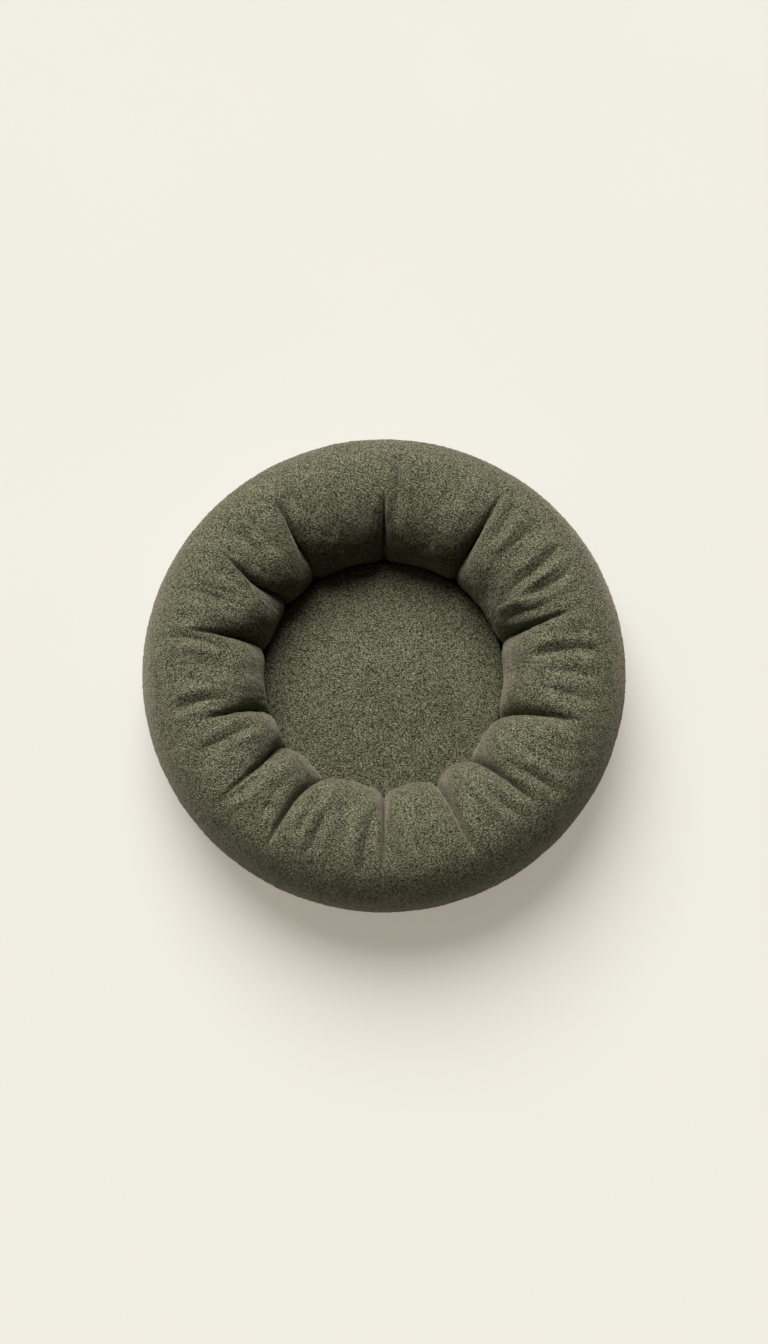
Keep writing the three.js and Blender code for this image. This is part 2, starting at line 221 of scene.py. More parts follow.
def revolved(name, profile, columns):
    """A closed surface of revolution from a half-outline whose ends are on the Z axis, bottom first."""
    profile = np.asarray(profile)
    grid = around_z(column_angles(1, columns), profile[1:-1, :1], profile[1:-1, 1:])
    return grid_piece(name, grid, caps=[(0, 0, profile[0][1]), (0, 0, profile[-1][1])])


def fan(rim, centre, outward_up):
    """Triangles from a closed row of points to one in the middle."""
    after = np.roll(rim, -1)
    order = (rim, after) if outward_up else (after, rim)
    return [(a, b, centre) for a, b in zip(*order)]


def grid_piece(name, grid, caps=(), slot=None, wrap_rows=False):
    """A mesh of a grid that closes along its columns. caps are the middle points that close its first and
    last rows, or None for a row that stays open. slot is (first row, last row, first column, last column) of
    a cut-out whose edges are folded in."""
    rows, columns = grid.shape[:2]
    quads = grid_faces(rows, columns, wrap_rows=wrap_rows)
    keep = np.ones(quads.shape[:2], bool)
    points = [grid.reshape(-1, 3)]
    faces = []
    if slot:
        first_row, last_row, first_column, last_column = slot
        keep[first_row:last_row, first_column:last_column] = False
        edge = slot_edge(*slot)
        folds, fold_faces = folded_edge(grid, edge, len(points[0]))
        points.append(folds)
        faces += fold_faces
    for cap, row, up in zip(caps, (0, rows - 1), (False, True)):
        if cap is not None:
            centre = sum(len(p) for p in points)
            points.append(np.array([cap]))
            faces += fan(row * columns + np.arange(columns), centre, up)
    faces += quads[keep].tolist()
    return mesh_object(name, np.concatenate(points), faces)


def slot_edge(first_row, last_row, first_column, last_column):
    """The points round a cut-out, in order, as (row, column, step across the slot, step along it)."""
    columns = range(first_column, last_column + 1)
    rows = range(first_row + 1, last_row)
    edge = [(first_row, c, 1, 0) for c in columns]
    edge += [(r, last_column, 0, -1) for r in rows]
    edge += [(last_row, c, -1, 0) for c in reversed(columns)]
    edge += [(r, first_column, 0, 1) for r in reversed(rows)]
    return edge


# A folded edge's rows of points: how far past the cut they are, and how deep.
EDGE_FOLDS = ((0.9 * MM, 0.5 * MM), (1.2 * MM, 1.6 * MM), (0.7 * MM, 2.8 * MM))


def folded_edge(grid, edge, offset):
    """Fabric turned in round a cut-out: rows of points past the edge, and the faces to them."""
    normals = grid_normals(grid)
    columns = grid.shape[1]
    at = np.array([(r, c) for r, c, _, _ in edge])
    base, normal = grid[at[:, 0], at[:, 1]], normals[at[:, 0], at[:, 1]]
    across = unit(np.gradient(grid, axis=0)[at[:, 0], at[:, 1]])
    along = unit(np.roll(grid, -1, axis=1)[at[:, 0], at[:, 1]] - base)
    steps = np.array([(s, t) for _, _, s, t in edge])
    into = across * steps[:, :1] + along * steps[:, 1:]
    folds = [base + into * far - normal * deep for far, deep in EDGE_FOLDS]
    count = len(edge)
    rings = [[r * columns + c for r, c, _, _ in edge]]
    rings += [[offset + k * count + i for i in range(count)] for k in range(len(folds))]
    faces = []
    for near, far in zip(rings, rings[1:]):
        faces += [(near[i], near[(i + 1) % count], far[(i + 1) % count], far[i]) for i in range(count)]
    return np.concatenate(folds), faces


# ---------------------------------------------------------------- zip lines


class ZipLine:
    """A zip's own frame, from its CAD teeth: its line round Z, the way up its tapes, and the way out."""

    def __init__(self, name, slot_past_teeth):
        self.name = name
        self.slot_past_teeth = slot_past_teeth
        upper, lower = (self.middle(f"{name}_teeth_{side}") for side in ("upper", "lower"))
        self.up = unit(upper - lower)
        self.out = np.array([self.up[1], -self.up[0]])
        self.centre = (upper + lower) / 2
        self.start, self.end = self.angles(f"{name}_teeth_upper")

    @staticmethod
    def middle(node):
        r, z = radii_of(node), node_points(node)[:, 2]
        return np.array([r.min() + r.max(), z.min() + z.max()]) / 2

    @staticmethod
    def angles(node):
        angles = turn_of(node_points(node))
        return angles.min(), angles.max()

    def spans(self, node):
        """How far a node reaches: lowest and highest up the tapes, then lowest and highest outwards."""
        flat = np.stack([radii_of(node), node_points(node)[:, 2]], axis=1) - self.centre
        up, out = flat @ self.up, flat @ self.out
        return up.min(), up.max(), out.min(), out.max()

    def place(self, theta, up, out):
        r, z = (self.centre[k] + up * self.up[k] + out * self.out[k] for k in (0, 1))
        return around_z(theta, r, z)

    def degrees(self, length):
        return np.degrees(length / self.centre[0])

    def slot_angles(self):
        past = self.degrees(self.slot_past_teeth)
        return self.start - past, self.end + past


RING_ZIP = ZipLine("bolster_zip", SLOT_PAST_TEETH + PULL_ROOM)
CUSHION_ZIP = ZipLine("cushion_zip", SLOT_PAST_TEETH)

# ---------------------------------------------------------------- the ring's shape


def superellipse(cosine):
    return np.sign(cosine) * np.abs(cosine) ** (2 / SQUARENESS)


def section(phi, inset=0.0):
    """Radius and height of the ring's plain outer surface at an angle round its section."""
    across = superellipse(np.cos(np.radians(phi)))
    up = superellipse(np.sin(np.radians(phi)))
    half_height = np.where(up > 0, RING_HIGH - TUBE_Z, TUBE_Z + TUBE_SAG) - inset
    r = TUBE_R + (TUBE_HALF_WIDTH - inset) * across
    z = np.maximum(TUBE_Z + half_height * up, RING_LOW)
    return r, z


def section_normal(phi, inset=0.0):
    step = 0.5
    r_before, z_before = section(phi - step, inset)
    r_after, z_after = section(phi + step, inset)
    length = np.maximum(np.hypot(r_after - r_before, z_after - z_before), 1e-9)
    return (z_after - z_before) / length, (r_before - r_after) / length


FINE_PHI = np.linspace(OUTER_FOOT, INNER_FOOT, 4000)
FINE_R, FINE_Z = section(FINE_PHI)
FINE_ALONG = np.concatenate([[0], np.cumsum(np.hypot(np.diff(FINE_R), np.diff(FINE_Z)))])
# Where the zip's line comes nearest to the outer surface, as a length along the section.
PAST_ZIP = (FINE_R - RING_ZIP.centre[0]) * RING_ZIP.up[0] + (FINE_Z - RING_ZIP.centre[1]) * RING_ZIP.up[1]
ZIP_ALONG = FINE_ALONG[np.argmin(np.abs(PAST_ZIP) + (FINE_PHI > 0))]


def phi_along(length):
    return np.interp(length, FINE_ALONG, FINE_PHI)


def ring_rows(rows, rows_below):
    """Angles round the section: evenly spaced along it, with a row on each side of the zip's slot."""
    below = np.linspace(0, ZIP_ALONG - SLOT_HALF_WIDTH, rows_below)
    above = np.linspace(ZIP_ALONG + SLOT_HALF_WIDTH, FINE_ALONG[-1], rows - rows_below)
    return phi_along(np.concatenate([below, above]))


# The gathers: angle at the well, angle at the outer end, where it starts round the section, depth in mm, and
# bend in degrees.
CREASES = [
    (90, 90, 104, 22, 0),
    (55, 55, 74, 25, -1),
    (16, 14, 87, 24, -1),
    (-22, -19, 76, 23, 0),
    (-47, -45, 72, 20, 0),
    (-66, -66, 62, 21, 0),
    (-90, -90, 66, 20, 0),
    (-118, -121, 60, 22, -2),
    (-143, -138, 74, 22, 1),
    (199, 200, 88, 21, 0),
    (168, 172, 84, 24, 0),
    (143, 147, 88, 23, 3),
    (124, 124, 82, 24, 1),
]
CREASE_HALF_WIDTH = 5 * MM

# The marked wrinkles beside the gathers: angle at the inner end, angle at the outer end, and where it starts
# and ends round the section.
MARKED_WRINKLES = [
    (85, 85, 60, 130),
    (48, 50, 66, 114),
    (29, 33, 64, 128),
    (23, 26, 66, 124),
    (20, 19, 96, 158),
    (1, 3, 62, 124),
    (-41, -39, 56, 114),
    (-53, -51, 62, 112),
    (-88, -87, 58, 112),
    (-95, -95, 54, 114),
    (-111, -109, 66, 114),
    (-114, -115, 76, 136),
    (-135, -137, 62, 112),
    (209, 207, 64, 134),
    (195, 194, 60, 106),
    (176, 174, 60, 112),
    (135, 133, 74, 114),
    (119, 118, 62, 100),
]
MARKED_DEPTH = 6.2
MARKED_HALF_WIDTH = 4.8

# Runs of faint wrinkles between them: first angle, last angle and how many.
FAINT_WRINKLES = [
    (64, 71, 2),
    (37, 44, 2),
    (-14, 9, 4),
    (-35, -27, 2),
    (-60, -58, 1),
    (-81, -73, 2),
    (-104, -102, 1),
    (-129, -127, 1),
    (-150, -147, 1),
    (181, 189, 2),
    (151, 165, 4),
    (138, 141, 1),
    (103, 105, 1),
]
FAINT_DEPTH = 3.9
FAINT_HALF_WIDTH = 6.6


def wrinkles():
    """Each wrinkle's inner and outer angle, where it starts and ends, and its depth and half-width in mm."""
    for at_inner, at_outer, start, end in MARKED_WRINKLES:
        yield at_inner, at_outer, start, end, MARKED_DEPTH, MARKED_HALF_WIDTH
    for first, last, count in FAINT_WRINKLES:
        for number in range(count):
            angle = first + (last - first) * (number + 0.5) / count
            lean = 1.5 * math.sin(2.3 * angle)
            end = 116 + 10 * math.sin(1.7 * angle)
            yield angle, angle + lean, 62, end, FAINT_DEPTH, FAINT_HALF_WIDTH


def crease_lines(theta, phi, r):
    """For each gather: each point's distance from its line in metres, its degrees round the section past the
    gather's outer end, and the gather's depth in metres."""
    for at_well, at_end, start, depth, bend in CREASES:
        s = np.clip((phi - start) / (180 - start), 0, 1)
        middle = at_end + (at_well - at_end) * s + bend * np.sin(math.pi * s)
        yield np.radians(wrap(theta - middle)) * r, phi - start, depth * MM


def gathered_in(theta, phi, r):
    """How far the gathers draw the fabric in, in metres, and how firmly they hold each point."""
    depth_here = np.zeros_like(theta)
    hold = np.zeros_like(theta)
    for distance, past_start, depth in crease_lines(theta, phi, r):
        strength = smooth(0, 80, past_start) * 0.8 + smooth(0, 24, past_start) * 0.2
        strength = strength * (1 - 0.55 * smooth(150, 188, phi))
        shape = np.exp(-np.abs(distance) / CREASE_HALF_WIDTH)
        depth_here = np.maximum(depth_here, depth * strength * shape)
        hold = np.maximum(hold, smooth(0, 24, past_start) * smooth(0.55, 0.9, shape))
    return depth_here, hold


def fold_turn(theta, phi, r):
    """How far the fabric turns about Z towards each fold, in degrees, so that its two sides nearly meet."""
    turn = np.zeros_like(theta)
    reach = 7 * MM
    for distance, past_start, _ in crease_lines(theta, phi, r):
        pull = 0.2 * smooth(0, 22, past_start) * np.exp(-((distance / reach) ** 2))
        turn -= np.degrees(distance * pull / r)
    return turn


def fold_depth(theta, phi, r):
    """The folds' sharp lines with the low ridge beside each, and the soft wrinkles, in metres inwards."""
    deep = np.zeros_like(theta)
    for distance, past_start, _ in crease_lines(theta, phi, r):
        strength = smooth(-6, 8, past_start) * smooth(190, 150, phi)
        broad = smooth(-10, 45, past_start) * smooth(195, 150, phi)
        line = 6.0 * np.exp(-((distance / (2.6 * MM)) ** 2))
        valley = 8.5 * np.exp(-np.abs(distance) / (11 * MM))
        ridge = 1.8 * np.exp(-(((np.abs(distance) - 30 * MM) / (12 * MM)) ** 2))
        deep += (strength * line + broad * (valley - ridge)) * MM
    for number, (at_inner, at_outer, start, end, depth, half_width) in enumerate(wrinkles()):
        s = np.clip((phi - start) / (end - start), 0, 1)
        middle = at_outer + (at_inner - at_outer) * s + 0.5 * np.sin(5 * s + number)
        distance = np.radians(wrap(theta - middle)) * r / (half_width * MM)
        strength = np.sin(math.pi * s) ** 0.8
        shape = np.exp(-np.abs(distance)) - 0.35 * np.exp(-((np.abs(distance) - 2.6) ** 2))
        deep += depth * MM * strength * shape
    return deep


# ---------------------------------------------------------------- cloth


def weigh(piece, name, weights):
    """A vertex group that holds these weights."""
    group = piece.vertex_groups.new(name=name)
    rounded = np.round(weights.ravel(), 2)
    for level in np.unique(rounded[rounded > 0]):
        group.add(np.nonzero(rounded == level)[0].tolist(), float(level), "REPLACE")
    return group


def inflate(grid, held, slack, pressure, frames, most, bending):
    """Runs cloth with air pressure on a grid, and returns what it gives, with no point moved by more than
    `most`. Points are held as firmly as `held` says, and the fabric is longer than its shape by `slack`."""
    piece = grid_piece("cloth", grid)
    cloth = piece.modifiers.new("inflate", "CLOTH")
    settings = cloth.settings
    settings.quality = 6
    settings.mass = 0.3
    settings.tension_stiffness = settings.compression_stiffness = 20
    settings.shear_stiffness = 8
    settings.bending_stiffness = bending
    settings.use_pressure = True
    settings.uniform_pressure_force = pressure
    settings.vertex_group_mass = weigh(piece, "held", held).name
    settings.pin_stiffness = 8
    most_slack = max(slack.max(), 1e-6)
    settings.vertex_group_shrink = weigh(piece, "slack", slack / most_slack).name
    settings.shrink_min = 0
    settings.shrink_max = -most_slack
    settings.effector_weights.gravity = 0
    cloth.collision_settings.use_collision = False
    cloth.collision_settings.use_self_collision = False
    scene = bpy.context.scene
    for number in range(1, frames + 1):
        scene.frame_set(number)
    graph = bpy.context.evaluated_depsgraph_get()
    blown = bpy.data.meshes.new_from_object(piece.evaluated_get(graph))
    moved = mesh_points(blown).reshape(grid.shape) - grid
    length = np.linalg.norm(moved, axis=-1, keepdims=True)
    scene.frame_set(1)
    bpy.data.objects.remove(piece)
    return grid + moved * np.minimum(1, most / np.maximum(length, 1e-9))


# ---------------------------------------------------------------- the ring

RING_COLUMNS, RING_ROWS, ROWS_BELOW_ZIP = 400, 62, 4
START_INSET = 2 * MM
NAP = 0.28 * MM


def near_zip(theta, along, zip_along, zip_line, soft):
    """1 where the fabric is sewn to a zip's tapes, falling to 0 around it."""
    start, end = zip_line.slot_angles()
    half = SLOT_HALF_WIDTH + 4 * MM
    lengthwise = plateau(start, end, zip_line.degrees(soft), theta)
    return lengthwise * plateau(zip_along - half, zip_along + half, soft, along)


def column_span(zip_line, columns):
    """The first and last columns of a zip's slot."""
    start, end = zip_line.slot_angles()
    return round(start * columns / 360), round(end * columns / 360)


def make_ring_grid():
    """The ring's outer surface before its folds are sharpened, with each point's angle about Z and its angle
    round the section."""
    phi = np.repeat(ring_rows(RING_ROWS, ROWS_BELOW_ZIP)[:, None], RING_COLUMNS, axis=1)
    theta = column_angles(RING_ROWS, RING_COLUMNS)
    sewn = near_zip(theta, np.interp(phi, FINE_PHI, FINE_ALONG), ZIP_ALONG, RING_ZIP, 25 * MM)
    inset = START_INSET * (1 - sewn) * smooth(OUTER_FOOT, -20, phi) * (1 - smooth(100, 150, phi))
    r, z = section(phi, inset)
    normal_r, normal_z = section_normal(phi, inset)
    depth, hold = gathered_in(theta, phi, r)
    grid = around_z(theta, r - normal_r * depth, z - normal_z * depth)
    hold = np.maximum(hold, sewn)
    hold = np.maximum(hold, smooth(200, 222, phi))
    hold[:2] = hold[-2:] = 1
    slack = 0.075 * smooth(75, 125, phi)
    grid = inflate(grid, hold, slack, pressure=3, frames=18, most=13 * MM, bending=4)
    grid = evened(grid, theta, smooth(70, 30, phi) * (1 - sewn))
    phi = np.repeat(refined(phi[:, :1])[:, :1], 2 * RING_COLUMNS, axis=1)
    return refined(grid), column_angles(2 * RING_ROWS - 1, 2 * RING_COLUMNS), phi


def evened(grid, theta, share):
    """A grid with each row's distance from the axis and height drawn by `share` to the row's own average."""
    r = radius_of(grid)
    even_r = r + (r.mean(axis=1, keepdims=True) - r) * share
    even_z = grid[..., 2] + (grid[..., 2].mean(axis=1, keepdims=True) - grid[..., 2]) * share
    turned = turn_of(grid)
    return around_z(turned + wrap(theta - turned) * share, even_r, even_z)


def finish_ring(grid, theta, phi):
    """Closes and sharpens the folds, and adds the wrinkles, the filling's unevenness and the nap."""
    r = radius_of(grid)
    turned = turn_of(grid) + fold_turn(theta, phi, r)
    grid = around_z(turned, r, grid[..., 2])
    sewn = near_zip(theta, np.interp(phi, FINE_PHI, FINE_ALONG), ZIP_ALONG, RING_ZIP, 12 * MM)
    loose = (1 - sewn) * smooth(OUTER_FOOT, -35, phi)
    plain_r, _ = section(phi)
    deep = fold_depth(theta, phi, plain_r)
    lumps = random_waves(40, 45 * MM, 130 * MM)(grid) * 0.5 * MM
    bumps = random_waves(40, 14 * MM, 34 * MM)(grid) * 0.35 * MM
    uneven = (lumps + bumps) * (0.3 + 0.7 * smooth(25, 80, phi))
    nap = random_waves(80, 4 * MM, 9 * MM)(grid) * NAP
    normal_r, normal_z = section_normal(phi)
    inwards = -around_z(theta, normal_r, normal_z)
    pressed_in = inwards * ((deep + uneven) * loose)[..., None]
    return grid + pressed_in + grid_normals(grid) * (nap * loose)[..., None]


def make_ring():
    grid, theta, phi = make_ring_grid()
    grid = finish_ring(grid, theta, phi)
    slot = (2 * ROWS_BELOW_ZIP - 2, 2 * ROWS_BELOW_ZIP, *column_span(RING_ZIP, 2 * RING_COLUMNS))
    cover = grid_piece("ring_cover", grid, slot=slot)
    dress(cover, "bolster_cover", "boucle", "bed", boucle_material)
    return grid, theta, phi


def make_ring_inside(cover_grid, theta, phi):
    """The ring's inner bag and its filling: the cover's own shape, set in, without its sharp folds."""
    step_rows, step_columns = 2, 4
    plain_r, plain_z = section(phi)
    normal_r, normal_z = section_normal(phi)
    normals = around_z(theta, normal_r, normal_z)
    depth = ((around_z(theta, plain_r, plain_z) - cover_grid) * normals).sum(-1)
    shifted = [np.roll(depth, (i, j), (0, 1)) for i in (-1, 0, 1) for j in range(-6, 7, 2)]
    depth = np.maximum.reduce(shifted)[::step_rows, ::step_columns]
    theta, phi = (a[::step_rows, ::step_columns] for a in (theta, phi))
    normals = normals[::step_rows, ::step_columns]
    plain = around_z(theta, *section(phi))
    lumps = random_waves(30, 20 * MM, 60 * MM)
    rows = [
        ("ring_liner", "bolster_liner", "lining", 5.4, 7.8, lining_material),
        ("ring_filling", "bolster_fill", "filling", 6.9, 9.3, filling_material),
    ]
    for name, node, slot, inset, heel_inset, material in rows:
        set_in = np.maximum(depth + inset * MM, heel_inset * MM * smooth(0, -20, phi))
        grid = plain - normals * (set_in + np.abs(lumps(plain)) * 0.5 * MM)[..., None]
        grid[..., 2] = np.maximum(grid[..., 2], low_of(node))
        piece = grid_piece(name, grid, wrap_rows=True)
        dress(piece, node, slot, "bed", material)


# ---------------------------------------------------------------- the cushion

CUSHION_COLUMNS, UNDER_ROWS, OVER_ROWS = 240, 24, 28
CUSHION_SEAM_ROW = 2 * UNDER_ROWS - 2  # of the refined grid
CUSHION_SPREAD = 8 * MM
CROWN_SETTLES = 3 * MM
CONE_RUN, CONE_RISE = 47, 30  # the cone's width and height in mm, from the flat's edge to its top
CONE = unit(np.array([CONE_RUN, CONE_RISE]))
CONE_TOP_INSIDE = 4 * MM  # from the edge seam
DOME_STEPS = 40


def cushion_under(inset=0.0, radius=None):
    """Outline of the cushion's underside from the axis outwards: flat, then a cone, then up to the seam."""
    radius = radius or CUSHION_R
    low = CUSHION_LOW + inset
    corner_r = CUSHION_FLAT_R - inset * CONE[1] + (inset - inset * CONE[0]) * CONE[0] / CONE[1]
    top_r = radius - CONE_TOP_INSIDE
    top = np.array([top_r, low + (top_r - corner_r) * CONE[1] / CONE[0]])
    edge = np.array([radius, CUSHION_SEAM])
    return np.array([(0, low), (corner_r, low), top, edge])


def lengths_along(outline):
    return np.concatenate([[0], np.cumsum(np.hypot(*np.diff(outline, axis=0).T))])


def at_lengths(outline, along):
    return np.stack([np.interp(along, lengths_along(outline), outline[:, k]) for k in (0, 1)], axis=1)


def spaced(outline, count):
    """Points evenly along an outline, leaving out its first."""
    return at_lengths(outline, np.linspace(0, lengths_along(outline)[-1], count + 1)[1:])


def cushion_over(inset=0.0, radius=None):
    """Outline of the cushion's top from its edge to the axis: a crowned dome."""
    radius = radius or CUSHION_R
    height = CUSHION_TOP - CROWN_SETTLES - inset - CUSHION_SEAM
    angle = np.linspace(0, math.pi / 2, DOME_STEPS)
    r = radius * np.cos(angle) ** (2 / CUSHION_SQUARENESS)
    z = CUSHION_SEAM + height * np.sin(angle) ** (2 / CUSHION_SQUARENESS)
    return np.stack([r, z], axis=1)


def under_rows():
    """Rows of the underside, with one on each side of the zip's slot, and that slot's first row."""
    outline = cushion_under()
    length = lengths_along(outline)
    zip_r = CUSHION_ZIP.centre[0] - CUSHION_ZIP.out[0] * 0.1 * MM
    zip_at = np.interp(zip_r, outline[:, 0], length)
    rows_past = 3
    inner = np.linspace(length[-1] * 0.03, zip_at - SLOT_HALF_WIDTH, UNDER_ROWS - rows_past)
    outer = np.linspace(zip_at + SLOT_HALF_WIDTH, length[-1], rows_past)
    along = np.concatenate([inner, outer])
    return at_lengths(outline, along), along, zip_at, UNDER_ROWS - rows_past - 1


WALL_STEP, WALL_LEVELS = 3 * MM, 100


def wall_place(grid):
    """Which degree about Z and which level of the ring's wall each point is beside."""
    level = np.clip((grid[..., 2] / WALL_STEP).astype(int), 0, WALL_LEVELS - 1)
    degree = (turn_of(grid) % 360).astype(int) % 360  # the first % gives 360 for a tiny negative angle
    return degree, level


def ring_wall(ring_grid):
    """A table of the ring's smallest radius near each degree and level."""
    points = ring_grid.reshape(-1, 3)
    points = points[radius_of(points) < TUBE_R]
    table = np.full((360, WALL_LEVELS), 1.0)
    np.minimum.at(table, wall_place(points), radius_of(points))
    near = [np.roll(table, (i, j), (0, 1)) for i in (-1, 0, 1) for j in (-1, 0, 1)]
    return np.minimum.reduce(near)


def pressed_by_ring(grid, ring_grid, gap):
    """The cushion's points held off the ring's wall."""
    limit = ring_wall(ring_grid)[wall_place(grid)] - gap
    smoothed = sum(np.roll(limit, k, axis=1) for k in range(-2, 3)) / 5
    r = radius_of(grid)
    share = np.minimum(1, np.minimum(limit, smoothed) / np.maximum(r, 1e-6))
    return grid * np.stack([share, share, np.ones_like(share)], axis=-1)


def make_cushion_grid():
    """The cushion's surface from the middle of its underside to the middle of its top, how firmly the zip
    holds each point, each row's distance from the edge seam, and the zip slot's first row."""
    under, along, zip_at, slot_row = under_rows()
    rows = np.concatenate([under, spaced(cushion_over(), OVER_ROWS + 1)[:-1]])
    count = len(rows)
    theta = column_angles(count, CUSHION_COLUMNS)
    sewn = np.zeros((count, CUSHION_COLUMNS))
    sewn[:UNDER_ROWS] = near_zip(theta[:UNDER_ROWS], along[:, None], zip_at, CUSHION_ZIP, 18 * MM)
    is_under = np.arange(count) < UNDER_ROWS
    inner_r = np.where(is_under, CUSHION_ZIP.centre[0] + 9 * MM, CUSHION_FLAT_R)
    wider = CUSHION_SPREAD * smooth(inner_r, CUSHION_R, rows[:, 0])
    grid = around_z(theta, (rows[:, 0] + wider)[:, None], rows[:, 1:])
    past_seam = np.hypot(*(rows - rows[UNDER_ROWS - 1]).T)[:, None]
    set_in = 3 * MM * (1 - sewn) * smooth(0, 20 * MM, past_seam)
    grid = grid - grid_normals(grid) * set_in[..., None]
    hold = sewn.copy()
    hold[UNDER_ROWS - 1] = 1
    hold[:2] = 1
    slack = 0.015 * smooth(45 * MM, 5 * MM, past_seam) * np.ones_like(theta)
    grid = inflate(grid, hold, slack, pressure=1.4, frames=16, most=6 * MM, bending=5)
    resting = is_under & (rows[:, 0] < CUSHION_FLAT_R)
    grid[resting, :, 2] = rows[resting, 1][:, None]
    sewn, past_seam = refined(sewn[..., None])[..., 0], refined(past_seam[..., None])[:, :1, 0]
    return refined(grid), sewn, past_seam, slot_row


def finish_cushion(grid, sewn, past_seam, ring_grid):
    """Adds the seam's puckers, the filling's unevenness and the nap, and fits the cushion to the ring."""
    pucker = cushion_puckers(column_angles(*sewn.shape)) * np.exp(-past_seam / (9 * MM)) * (1 - sewn)
    uneven = random_waves(30, 60 * MM, 150 * MM)(grid) * 1.0 * MM * smooth(30 * MM, 60 * MM, past_seam)
    nap = random_waves(60, 4 * MM, 9 * MM)(grid) * NAP
    top_only = (np.arange(len(grid)) > CUSHION_SEAM_ROW)[:, None]
    grid = grid + grid_normals(grid) * ((uneven * top_only + nap) * (1 - sewn) - pucker)[..., None]
    grid = pressed_by_ring(grid, ring_grid, 0.8 * MM)
    grid[..., 2] = np.maximum(grid[..., 2], CUSHION_LOW)
    return grid


def make_cushion(ring_grid):
    grid, sewn, past_seam, slot_row = make_cushion_grid()
    grid = finish_cushion(grid, sewn, past_seam, ring_grid)
    under, over = grid[:CUSHION_SEAM_ROW + 1], grid[CUSHION_SEAM_ROW:]
    slot = (2 * slot_row, 2 * slot_row + 2, *column_span(CUSHION_ZIP, 2 * CUSHION_COLUMNS))
    pieces = [
        ("cushion_underside", "cushion_underside_panel", under, [(0, 0, CUSHION_LOW), None], slot),
        ("cushion_top", "cushion_top_panel", over, [None, (0, 0, grid[-1, :, 2].mean())], None),
    ]
    for name, node, part, caps, cut in pieces:
        piece = grid_piece(name, part, caps=caps, slot=cut)
        dress(piece, node, "boucle", "cushion", boucle_material)


def cushion_puckers(theta):
    """The small gathers along the cushion's seam, in metres deep."""
    deep = np.zeros_like(theta)
    count = 64
    places = (np.arange(count) + RNG.uniform(-0.3, 0.3, count)) * 360 / count
    for place, depth in zip(places, RNG.uniform(0.4, 1.3, count)):
        distance = np.radians(wrap(theta - place)) * CUSHION_R / (2.6 * MM)
        deep = np.maximum(deep, depth * MM * np.exp(-(distance**2)))
    return deep


def make_cushion_inside():
    """The cushion's inner bag and its filling."""
    lumps = random_waves(30, 20 * MM, 50 * MM)
    rows = [
        ("cushion_inner_bag", "cushion_liner", "lining", lining_material),
        ("cushion_filling", "cushion_fill", "filling", filling_material),
    ]
    for name, node, slot, material in rows:
        radius = radii_of(node).max()
        under = spaced(cushion_under(low_of(node) - CUSHION_LOW, radius), 24)[:-1]
        over = spaced(cushion_over(CUSHION_TOP - high_of(node), radius), 26)[:-1]
        outline = np.concatenate([[(0, low_of(node))], under, over, [(0, high_of(node))]])
        piece = revolved(name, outline, 120)
        points = mesh_points(piece.data)
        set_points(piece, points * (1 - 0.006 * np.abs(lumps(points)))[:, None] + (0, 0, 0.1 * MM))
        dress(piece, node, slot, "cushion", material)


# ---------------------------------------------------------------- the base


def thin_disc(radius, low, high, rings=24):
    """Half-outline of a flat disc with a rounded rim, bottom first."""
    r = np.linspace(0, radius - (high - low) / 2, rings)
    rim = np.radians(np.linspace(-90, 90, 7))[1:-1]
    middle, half = (low + high) / 2, (high - low) / 2
    bottom = [(x, low) for x in r]
    edge = [(r[-1] + half * math.cos(a), middle + half * math.sin(a)) for a in rim]
    top = [(x, high) for x in r[::-1]]
    return bottom + edge + top


DOT_PITCH, DOT_R, DOT_HEIGHT = 64 * MM, 6 * MM, 1 * MM
DOT_ROW_PITCH = DOT_PITCH * math.sqrt(3) / 2
DOT_OUTLINE = [(0.35, 0), (0.62, 0), (0.84, 0.14), (0.97, 0.5), (1, 1)]  # shares of its radius and height


def grip_dot_places():
    """The middles of the CAD grip dots, which lie on a triangular pattern."""
    x, y, z = node_points("base_panel").T
    ends = z < 0.05 * MM
    row = np.round(y[ends] / DOT_ROW_PITCH)
    column = np.round(x[ends] / DOT_PITCH - (row % 2) / 2)
    return [((i + (j % 2) / 2) * DOT_PITCH, j * DOT_ROW_PITCH) for i, j in sorted(set(zip(column, row)))]


def make_base():
    radius = radii_of("base_panel").max()
    panel = revolved("base_underside", thin_disc(radius, DOT_HEIGHT, high_of("base_panel")), 240)
    dress(panel, "base_panel", "grip_fabric", "bed", grip_fabric_material)
    dots = make_grip_dots()


def make_grip_dots():
    """All the dots in one mesh: rings of points for each, and one in the middle of its foot and its top."""
    sides = 24
    points, faces = [], []
    theta = column_angles(1, sides)[0]
    rings = np.concatenate([around_z(theta, r * DOT_R, z * DOT_HEIGHT) for r, z in DOT_OUTLINE])
    dot = np.concatenate([rings, [(0, 0, 0), (0, 0, DOT_HEIGHT)]])
    for number, (x, y) in enumerate(grip_dot_places()):
        start = number * len(dot)
        foot_middle = start + len(rings)
        points.append(dot + (x, y, 0))
        faces += (grid_faces(len(DOT_OUTLINE), sides).reshape(-1, 4) + start).tolist()
        faces += fan(start + np.arange(sides), foot_middle, False)
        faces += fan(foot_middle - sides + np.arange(sides), foot_middle + 1, True)
    dots = mesh_object("grip_dots", np.concatenate(points), faces)
    dress(dots, None, "grip_fabric", "bed", rubber_material)
    return dots


